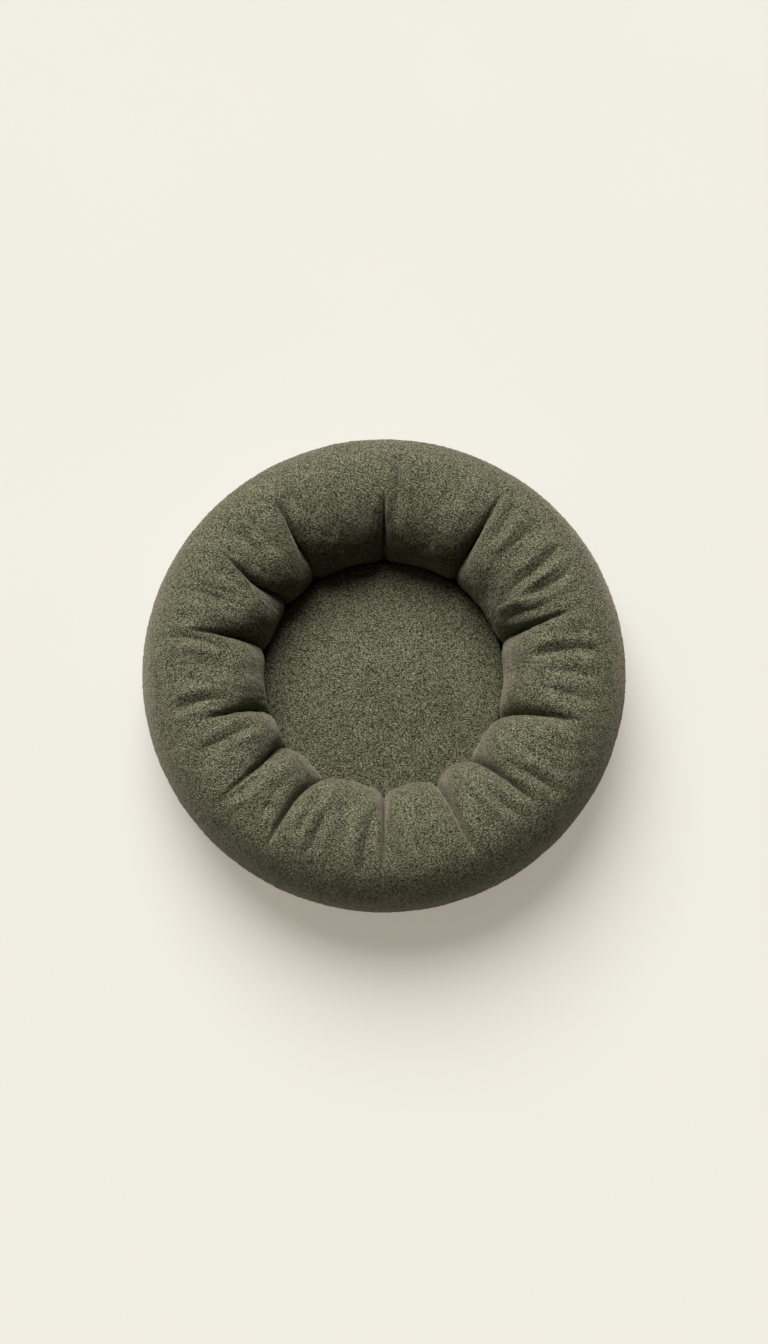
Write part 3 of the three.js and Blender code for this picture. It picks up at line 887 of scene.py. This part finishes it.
def make_floor():
    """The fabric floor of the well and the thin wadding under it."""
    radius = radii_of("floor_panel").max()
    low, high = low_of("floor_panel"), high_of("floor_panel")
    uneven = random_waves(30, 40 * MM, 110 * MM)
    floor = revolved("well_floor", thin_disc(radius, low, high, 60), 240)
    points = mesh_points(floor.data)
    settle = np.clip(uneven(points), -1, 0) * 0.3 * MM * (points[:, 2] > (low + high) / 2)
    set_points(floor, points + np.stack([settle * 0, settle * 0, settle], axis=1))
    dress(floor, "floor_panel", "boucle", "bed", boucle_material)
    low, high = low_of("base_wadding"), high_of("base_wadding")
    pad = revolved("base_wadding_pad", thin_disc(radii_of("base_wadding").max(), low, high, 40), 180)
    points = mesh_points(pad.data)
    middle = (low + high) / 2
    thinner = 1 - 0.05 * (1 + np.clip(uneven(points * 2), -1, 1))
    points[:, 2] = middle + (points[:, 2] - middle) * thinner
    set_points(pad, points)
    dress(pad, "base_wadding", "filling", "bed", filling_material)


def make_label():
    """The blank care label: a satin strip folded back on itself, its two ends sewn under the ring's foot."""
    points = node_points("care_label")
    angle = turn_of(points.mean(axis=0))
    near, far = radii_of("care_label").min(), radii_of("care_label").max()
    low, width, thin = low_of("care_label"), 36 * MM, 0.28 * MM
    sides, steps, lift = 16, 40, 2.2 * MM
    out = np.concatenate([np.linspace(0, 1, steps // 2), np.linspace(1, 0, steps // 2)])
    upper = np.repeat([0, 1], steps // 2)
    fold = 0.45 * MM * np.sin(math.pi * np.clip(out * 1.15, 0, 1)) + 0.1 * MM
    z = low + lift * out**2 + upper * (thin + 2 * fold)
    x = near + (far - near) * out
    grid = np.empty((sides, steps, 3))
    across = np.linspace(-0.5, 0.5, sides)
    for j, share in enumerate(across):
        sideways = around_z(angle + 90, share * width, 0)
        grid[j] = around_z(angle, x, z + 0.35 * MM * math.cos(share * 5) * out) + sideways
    faces = grid_faces(sides, steps, wrap_columns=False).reshape(-1, 4)
    label = mesh_object("blank_label", grid.reshape(-1, 3), faces.tolist())
    dress(label, "care_label", "label", "bed", label_material)


# ---------------------------------------------------------------- zips and stitches

# Each side's direction up from the zip's line, and how many turns its coil is shifted by, to mesh.
SIDES = {"upper": (1, 0.25), "lower": (-1, 0.75)}
STRIP_STEPS = 180
COIL_WIRE, COIL_PITCH, COIL_OVERLAP = 0.35 * MM, 1.5 * MM, 0.55 * MM
COIL_TURN_STEPS, COIL_SIDES = 10, 5
CORD_ROOM = 0.75 * MM  # between the coil's outside and the cord
THREAD, STITCH, STITCH_GAP, STITCH_BOW = 0.35 * MM, 3.2 * MM, 1.3 * MM, 0.3 * MM

def tube_faces(count, sides, first=0):
    """Faces of a tube with flat ends, from `count` loops of points numbered on from `first`."""
    quads = grid_faces(count, sides).reshape(-1, 4)[:, ::-1]
    ends = [np.arange(sides), np.arange((count - 1) * sides, count * sides)[::-1]]
    return [(face + first).tolist() for face in (*quads, *ends)]


def swept(name, sections):
    """A mesh from cross-sections in order, each a closed loop of points, with flat ends."""
    return mesh_object(name, sections, tube_faces(*sections.shape[:2]))


def strip(name, line, node, outline):
    """A strip along a zip's line, as long as a CAD node, from its outline's (up, out) points."""
    theta = np.linspace(*line.angles(node), STRIP_STEPS)
    return swept(name, np.stack([line.place(theta, up, out) for up, out in outline], axis=1))


def tape_outline(low, high, inner, outer):
    """A tape's section: a thin rectangle with its corners taken off."""
    nick = 0.2 * MM
    return [
        (low + nick, inner), (high - nick, inner), (high, inner + nick), (high, outer - nick),
        (high - nick, outer), (low + nick, outer), (low, outer - nick), (low, inner + nick),
    ]


def make_tape(line, side, body):
    node = f"{line.name}_tape_{side}"
    tape = strip(f"{line.name}_woven_tape_{side}", line, node, tape_outline(*line.spans(node)))
    dress(tape, node, "zip_tape", body, zip_tape_material)


def make_coil(line, side, body):
    """One side's row of teeth: a flattened coil of nylon wire whose turns mesh with the other side's."""
    node = f"{line.name}_teeth_{side}"
    low, high, inner, outer = line.spans(node)
    sign, shift = SIDES[side]
    reach = max(abs(low), abs(high))
    start, end = line.angles(node)
    turns = int(math.radians(end - start) * line.centre[0] / COIL_PITCH)
    t = np.arange(turns * COIL_TURN_STEPS + 1) / COIL_TURN_STEPS
    phase = 2 * math.pi * t
    theta = start + (t + shift) * (end - start) / (turns + 1)
    middle = (reach - COIL_OVERLAP) / 2
    half_width, half_height = (reach + COIL_OVERLAP) / 2 - COIL_WIRE, (outer - inner) / 2 - COIL_WIRE
    up = sign * (middle + half_width * superellipse(np.cos(phase)))
    out = (inner + outer) / 2 + half_height * superellipse(np.sin(phase))
    path = line.place(theta, up, out)
    forward = unit(np.gradient(path, axis=0))
    outward = unit(line.place(theta, up, out + 1 * MM) - path)
    sideways = unit(np.cross(forward, outward))
    upright = np.cross(sideways, forward)
    angle = np.arange(COIL_SIDES) * 2 * math.pi / COIL_SIDES
    sections = [path + COIL_WIRE * (math.cos(a) * sideways + math.sin(a) * upright) for a in angle]
    coil = swept(f"{line.name}_coil_{side}", np.stack(sections, axis=1))
    dress(coil, node, "zip_teeth", body, nylon_material)


def make_cord(line, side, body):
    """The woven cord inside one side's coil, which closes the view through its turns."""
    node = f"{line.name}_teeth_{side}"
    low, high, inner, outer = line.spans(node)
    sign, _ = SIDES[side]
    near, far = 0.8 * MM, max(abs(low), abs(high)) - CORD_ROOM
    half_width, half_height = (far - near) / 2, (outer - inner) / 2 - CORD_ROOM
    angle = np.radians(np.arange(10) * 36)
    up = sign * ((near + far) / 2 + half_width * superellipse(np.cos(angle)))
    out = (inner + outer) / 2 + sign * half_height * superellipse(np.sin(angle))
    cord = strip(f"{line.name}_cord_{side}", line, node, zip(up, out))
    dress(cord, None, "zip_tape", body, zip_tape_material)


def make_stitches(name, stitches, body):
    """One mesh of short thread stitches, each from one point to another and bowed along its normal."""
    steps, sides = 5, 6
    points, faces = [], []
    angle = np.arange(sides) * 2 * math.pi / sides
    for index, (start, end, normal) in enumerate(stitches):
        t = np.linspace(0, 1, steps)
        forward = unit(end - start)
        sideways = np.cross(normal, forward)
        path = start + (end - start) * t[:, None] + normal * (np.sin(math.pi * t) * STITCH_BOW)[:, None]
        size = THREAD * (0.45 + 0.55 * np.sin(math.pi * np.clip(t, 0.06, 0.94)) ** 0.6)
        rings = [path + (math.cos(a) * sideways + math.sin(a) * normal) * size[:, None] for a in angle]
        points.append(np.stack(rings, axis=1).reshape(-1, 3))
        faces += tube_faces(steps, sides, index * steps * sides)
    piece = mesh_object(name, np.concatenate(points), faces)
    piece.data.materials.append(thread_material())
    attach(piece, body)


def arc_stitches(place, start, end, radius):
    """Stitches along an arc about Z. place gives a point and its outward normal at an angle."""
    pitch = math.degrees((STITCH + STITCH_GAP) / radius)
    for theta in np.arange(start, end, pitch):
        first, normal = place(theta)
        last, _ = place(theta + math.degrees(STITCH / radius))
        yield first, last, normal


def ring_place(along):
    """A function that gives the point and normal at an angle about Z, this far along the ring's section."""
    phi = phi_along(along)
    r, z = section(phi)
    normal_r, normal_z = section_normal(phi)

    def at(theta):
        normal = around_z(theta, normal_r, normal_z)
        return around_z(theta, r, z) + normal * 0.15 * MM, normal

    return at


def cone_place(up):
    """A function that gives the point and normal at an angle about Z, beside the cushion's zip."""
    outside = COVER_THICKNESS + 0.55 * MM

    def at(theta):
        normal = around_z(theta, *CUSHION_ZIP.out)
        return CUSHION_ZIP.place(theta, up, outside), normal

    return at


def make_zip(line, body):
    for side in ("upper", "lower"):
        make_tape(line, side, body)
        make_coil(line, side, body)
        make_cord(line, side, body)
        metal_node(f"{line.name}_top_stop_{side}")
    for part in ("bottom_stop", "slider", "pull"):
        metal_node(f"{line.name}_{part}")


def metal_node(name):
    """A CAD metal part, with its edges broken and a better material."""
    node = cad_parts[name]
    bevel = node.modifiers.new("edges", "BEVEL")
    bevel.width = 0.16 * MM
    bevel.segments = 2
    bevel.limit_method = "ANGLE"
    give_material(node, metal_material())


def make_zip_stitches():
    beside = SLOT_HALF_WIDTH + 2.6 * MM
    ring_rows_beside = [ring_place(ZIP_ALONG - beside), ring_place(ZIP_ALONG + beside)]
    cushion_rows_beside = [cone_place(-beside), cone_place(beside)]
    zips = [
        ("ring_zip_stitches", "bed", RING_ZIP, ring_rows_beside),
        ("cushion_zip_stitches", "cushion", CUSHION_ZIP, cushion_rows_beside),
    ]
    for name, body, line, rows in zips:
        start, end = line.slot_angles()
        stitches = [s for row in rows for s in arc_stitches(row, start, end, line.centre[0])]
        make_stitches(name, stitches, body)


def make_base_stitches():
    """The row of stitches that joins the base to the cover, just inside the base's rim."""
    radius = radii_of("base_panel").max() - 5 * MM

    def at(theta):
        down = np.array([0, 0, -1.0])
        return around_z(theta, radius, 1 * MM), down

    make_stitches("base_stitches", list(arc_stitches(at, 0, 359, radius)), "bed")


# ---------------------------------------------------------------- materials


def give_material(piece, material):
    piece.data.materials.clear()
    piece.data.materials.append(material)


class NodeTree:
    """Adds nodes to a node tree."""

    def __init__(self, tree):
        self.tree = tree

    def add(self, kind, inputs=None, **settings):
        """A new node. inputs are by name or number: a socket is linked and a value is set."""
        node = self.tree.nodes.new(kind)
        for key, value in settings.items():
            setattr(node, key, value)
        for key, value in (inputs or {}).items():
            if isinstance(value, bpy.types.NodeSocket):
                self.link(value, node.inputs[key])
            else:
                node.inputs[key].default_value = value
        return node

    def link(self, source, target):
        self.tree.links.new(source, target)


class Paint(NodeTree):
    """A material in the making. values are the shader's constant inputs, by name with _ for a space."""

    def __init__(self, name, squeeze, values):
        self.material = bpy.data.materials.new(name)
        self.material.use_nodes = True
        super().__init__(self.material.node_tree)
        self.shader = self.tree.nodes["Principled BSDF"]
        for key, value in values.items():
            self.shader.inputs[key.replace("_", " ").title()].default_value = value
        self.place = self.squeezed(squeeze)

    def squeezed(self, squeeze):
        """Points in the piece's own frame, in metres. `squeeze` is how much smaller a pattern is by axis."""
        place = self.add("ShaderNodeTexCoord").outputs["Object"]
        return self.add("ShaderNodeMapping", {"Vector": place, "Scale": squeeze}).outputs["Vector"]

    def noise(self, size, detail=2.0, roughness=0.5, place=None):
        """Noise with grains of about this size in metres, from 0 to 1."""
        place = self.place if place is None else place
        inputs = {"Vector": place, "Scale": 1 / size, "Detail": detail, "Roughness": roughness}
        return self.add("ShaderNodeTexNoise", inputs).outputs["Fac"]

    def weave(self, pitch):
        """A plain weave's height: threads along X and along Y, over and under by turns."""
        inputs = {"Vector": self.place, "Scale": 0.314 / pitch, "Distortion": 0.6, "Detail": 1.0}
        x, y = (self.add("ShaderNodeTexWave", inputs, bands_direction=way).outputs["Fac"] for way in "XY")
        return self.add("ShaderNodeMath", {0: x, 1: y}, operation="MULTIPLY").outputs[0]

    def blend(self, share, first, second):
        """share of second in first, for single numbers."""
        return self.add("ShaderNodeMix", {0: share, 2: first, 3: second}, data_type="FLOAT").outputs[0]

    def scaled(self, value, factor, offset=0.0):
        inputs = {0: value, 1: factor, 2: offset}
        return self.add("ShaderNodeMath", inputs, operation="MULTIPLY_ADD").outputs[0]

    def color(self, factor, *stops):
        """Colours the surface by factor. stops are (place, (r, g, b))."""
        node = self.add("ShaderNodeValToRGB", {"Fac": factor})
        elements = node.color_ramp.elements
        while len(elements) < len(stops):
            elements.new(0.5)
        for element, (place, color) in zip(elements, stops):
            element.position, element.color = place, (*color, 1)
        self.link(node.outputs["Color"], self.shader.inputs["Base Color"])

    def roughness(self, value, factor, offset):
        self.link(self.scaled(value, factor, offset), self.shader.inputs["Roughness"])

    def bump(self, height, distance):
        node = self.add("ShaderNodeBump", {"Height": height, "Distance": distance, "Strength": 1.0})
        self.link(node.outputs["Normal"], self.shader.inputs["Normal"])


def material(name, squeeze=(1, 1, 1), **values):
    """Turns a function that colours a Paint into one that gives the finished material, made only once."""

    def maker(colour):
        @functools.cache
        def get():
            paint = Paint(name, squeeze, values)
            colour(paint)
            return paint.material

        return get

    return maker


@material("boucle", squeeze=(0.72, 1.15, 1.15), roughness=0.92, sheen_weight=0.5, sheen_roughness=0.28)
def boucle_material(paint):
    """Heathered olive wool boucle: loops about 2 mm across, light and dark yarns twisted together, a little
    drawn out across the bed."""
    paint.shader.inputs["Sheen Tint"].default_value = (0.85, 0.76, 0.58, 1)
    paint.shader.inputs["Specular IOR Level"].default_value = 0.25
    bend = {"Vector": paint.place, "Scale": 220, "Detail": 1.0}
    bent = {0: paint.add("ShaderNodeTexNoise", bend).outputs["Color"], 1: (0.002,) * 3, 2: paint.place}
    bent = paint.add("ShaderNodeVectorMath", bent, operation="MULTIPLY_ADD").outputs["Vector"]
    loops = paint.add("ShaderNodeTexVoronoi", {"Vector": bent, "Scale": 1 / 0.0016}, feature="F1").outputs[0]
    raised = paint.scaled(loops, -1.0, 1.0)
    yarn = paint.noise(0.00115, 1.5, 0.6, bent)
    heather = paint.blend(0.07, paint.blend(0.42, yarn, raised), paint.noise(0.02))
    dark, middle, light = (0.019, 0.019, 0.0096), (0.094, 0.094, 0.054), (0.35, 0.345, 0.232)
    paint.color(heather, (0.36, dark), (0.51, middle), (0.68, light))
    paint.bump(paint.blend(0.55, raised, yarn), 0.0015)


@material("lining", roughness=0.8, sheen_weight=0.1)
def lining_material(paint):
    """Thin white non-woven fabric."""
    fibres = paint.noise(0.0012, 3.0, 0.7)
    clouded = paint.blend(0.5, fibres, paint.noise(0.02))
    paint.color(clouded, (0.3, (0.66, 0.65, 0.6)), (0.7, (0.8, 0.79, 0.74)))
    paint.bump(fibres, 0.0003)


@material("filling", squeeze=(1, 1, 3), roughness=0.95, sheen_weight=0.3)
def filling_material(paint):
    """Loose white hollow fibre."""
    strands = paint.noise(0.002, 5.0, 0.75)
    paint.color(strands, (0.3, (0.78, 0.77, 0.74)), (0.7, (0.93, 0.92, 0.9)))
    paint.bump(strands, 0.0015)


@material("elastic", roughness=0.75)
def elastic_material(paint):
    """Ribbed woven elastic, its ribs running with the band."""
    inputs = {"Vector": paint.place, "Scale": 150.0, "Distortion": 0.4}
    ribs = paint.add("ShaderNodeTexWave", inputs, wave_type="RINGS", rings_direction="Z").outputs["Fac"]
    grained = paint.blend(0.4, ribs, paint.noise(0.0006))
    paint.color(grained, (0.2, (0.52, 0.51, 0.46)), (0.8, (0.72, 0.71, 0.66)))
    paint.bump(ribs, 0.0004)


@material("grip_fabric", roughness=0.85, sheen_weight=0.12)
def grip_fabric_material(paint):
    """The underside's dark, coarse plain weave."""
    threads = paint.weave(0.0009)
    faded = paint.blend(0.35, threads, paint.noise(0.03, 3.0))
    paint.color(faded, (0.1, (0.02, 0.02, 0.016)), (0.7, (0.06, 0.061, 0.048)))
    paint.bump(threads, 0.0005)


@material("grip_dot", roughness=0.5, coat_weight=0.08)
def rubber_material(paint):
    """The grip dots' soft silicone."""
    dust = paint.noise(0.004, 4.0, 0.65)
    paint.color(dust, (0.35, (0.035, 0.036, 0.03)), (0.7, (0.075, 0.076, 0.064)))
    paint.roughness(dust, 0.4, 0.3)
    paint.bump(paint.noise(0.0008), 0.00008)


@material("zip_tape", roughness=0.78, sheen_weight=0.1)
def zip_tape_material(paint):
    """Dark olive woven tape."""
    threads = paint.weave(0.0005)
    shaded = paint.blend(0.4, threads, paint.noise(0.01, 3.0))
    paint.color(shaded, (0.15, (0.04, 0.04, 0.026)), (0.7, (0.1, 0.1, 0.066)))
    paint.bump(threads, 0.0003)


@material("nylon", roughness=0.38, coat_weight=0.1)
def nylon_material(paint):
    """The coil's satin nylon."""
    shade = paint.noise(0.003, 3.0)
    paint.color(shade, (0.3, (0.045, 0.046, 0.031)), (0.7, (0.085, 0.086, 0.06)))
    paint.roughness(shade, 0.25, 0.28)


@material("zip_metal", metallic=0.8, roughness=0.42)
def metal_material(paint):
    """Dull painted alloy, worn a little lighter in patches."""
    wear = paint.noise(0.0025, 5.0, 0.7)
    scratches = paint.noise(0.0007, 3.0, 0.6, paint.squeezed((1, 1, 6)))
    paint.color(wear, (0.4, (0.12, 0.118, 0.095)), (0.72, (0.25, 0.245, 0.21)))
    paint.roughness(scratches, 0.35, 0.25)
    paint.bump(scratches, 0.00003)


@material("label", roughness=0.4, sheen_weight=0.25)
def label_material(paint):
    """Off-white satin ribbon."""
    threads = paint.weave(0.0003)
    shaded = paint.blend(0.6, threads, paint.noise(0.008))
    paint.color(shaded, (0.2, (0.72, 0.7, 0.63)), (0.7, (0.84, 0.82, 0.76)))
    paint.bump(threads, 0.0001)


@material("thread", roughness=0.6, sheen_weight=0.3)
def thread_material(paint):
    """Olive sewing thread, with its twist."""
    inputs = {"Vector": paint.place, "Scale": 900.0, "Distortion": 1.5}
    twist = paint.add("ShaderNodeTexWave", inputs, bands_direction="DIAGONAL").outputs["Fac"]
    paint.color(twist, (0.2, (0.05, 0.05, 0.03)), (0.8, (0.13, 0.13, 0.085)))
    paint.bump(twist, 0.0001)


@material("studio_floor", roughness=0.9, emission_strength=1.0)
def floor_material(paint):
    """The studio's plain pale floor."""
    paint.color(paint.noise(0.3), (0.3, (0.437, 0.444, 0.427)), (0.7, (0.443, 0.45, 0.433)))
    paint.shader.inputs["Emission Color"].default_value = (0.335, 0.305, 0.255, 1)


# ---------------------------------------------------------------- the studio


def make_stage():
    half = 6
    points = [(-half, -half, 0), (half, -half, 0), (half, half, 0), (-half, half, 0)]
    floor = mesh_object("floor", points, [(0, 1, 2, 3)], smooth_faces=False)
    floor.data.materials.append(floor_material())
    floor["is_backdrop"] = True


FRAME_SHAPE = 768 / 1344  # the picture's width over its height
BED_SHARE = 0.6315  # of the picture's width
CAMERA_ELEVATION, CAMERA_LENS, SENSOR = math.radians(75), 70, 36
WORLD_BRIGHT_SIDE = (-0.46, 0.86, -0.22)


def make_camera():
    data = bpy.data.cameras.new("camera")
    data.lens = CAMERA_LENS
    data.sensor_width = SENSOR
    camera = bpy.data.objects.new("camera", data)
    bpy.context.scene.collection.objects.link(camera)
    distance = CAMERA_LENS * (2 * RING_OUTSIDE / BED_SHARE) / (SENSOR * FRAME_SHAPE)
    back = Vector((0, -math.cos(CAMERA_ELEVATION), math.sin(CAMERA_ELEVATION)))
    camera.location = Vector((0, 0, RING_HIGH / 2)) + back * distance
    camera.rotation_euler = (math.pi / 2 - CAMERA_ELEVATION, 0, 0)
    bpy.context.scene.camera = camera


def make_sun(azimuth, elevation, spread, strength):
    """A large soft key light, far enough away to light the whole floor evenly."""
    data = bpy.data.lights.new("key", "SUN")
    data.energy, data.angle = strength, math.radians(spread)
    light = bpy.data.objects.new("key", data)
    bpy.context.scene.collection.objects.link(light)
    a, e = math.radians(azimuth), math.radians(elevation)
    back = Vector((math.cos(a) * math.cos(e), math.sin(a) * math.cos(e), math.sin(e)))
    light.rotation_mode = "QUATERNION"
    light.rotation_quaternion = back.to_track_quat("Z", "Y")


def make_studio_light():
    make_sun(azimuth=104, elevation=49, spread=46, strength=4.3)
    world = bpy.data.worlds.new("studio")
    world.use_nodes = True
    nodes = NodeTree(world.node_tree)
    background = nodes.tree.nodes["Background"]
    facing = {0: nodes.add("ShaderNodeTexCoord").outputs["Generated"], 1: WORLD_BRIGHT_SIDE}
    facing = nodes.add("ShaderNodeVectorMath", facing, operation="DOT_PRODUCT").outputs["Value"]
    shade = {"Value": facing, "From Min": -0.45, "To Min": 0.02, "To Max": 0.6}
    nodes.link(nodes.add("ShaderNodeMapRange", shade).outputs[0], background.inputs["Strength"])
    background.inputs["Color"].default_value = (1.0, 0.94, 0.83, 1)
    bpy.context.scene.world = world
    bpy.context.scene.view_settings.view_transform = "Standard"


make_camera()
make_stage()
make_studio_light()
ring_surface = make_ring()
make_ring_inside(*ring_surface)
make_cushion(ring_surface[0])
make_cushion_inside()
make_base()
make_floor()
make_label()
make_zip(RING_ZIP, "bed")
make_zip(CUSHION_ZIP, "cushion")
make_zip_stitches()
make_base_stitches()
give_material(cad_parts["gather_elastic"], elastic_material())

boxes = {"cad": CAD_BOX, "visual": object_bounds()}
{name: [list(low), list(high)] for name, (low, high) in boxes.items()}
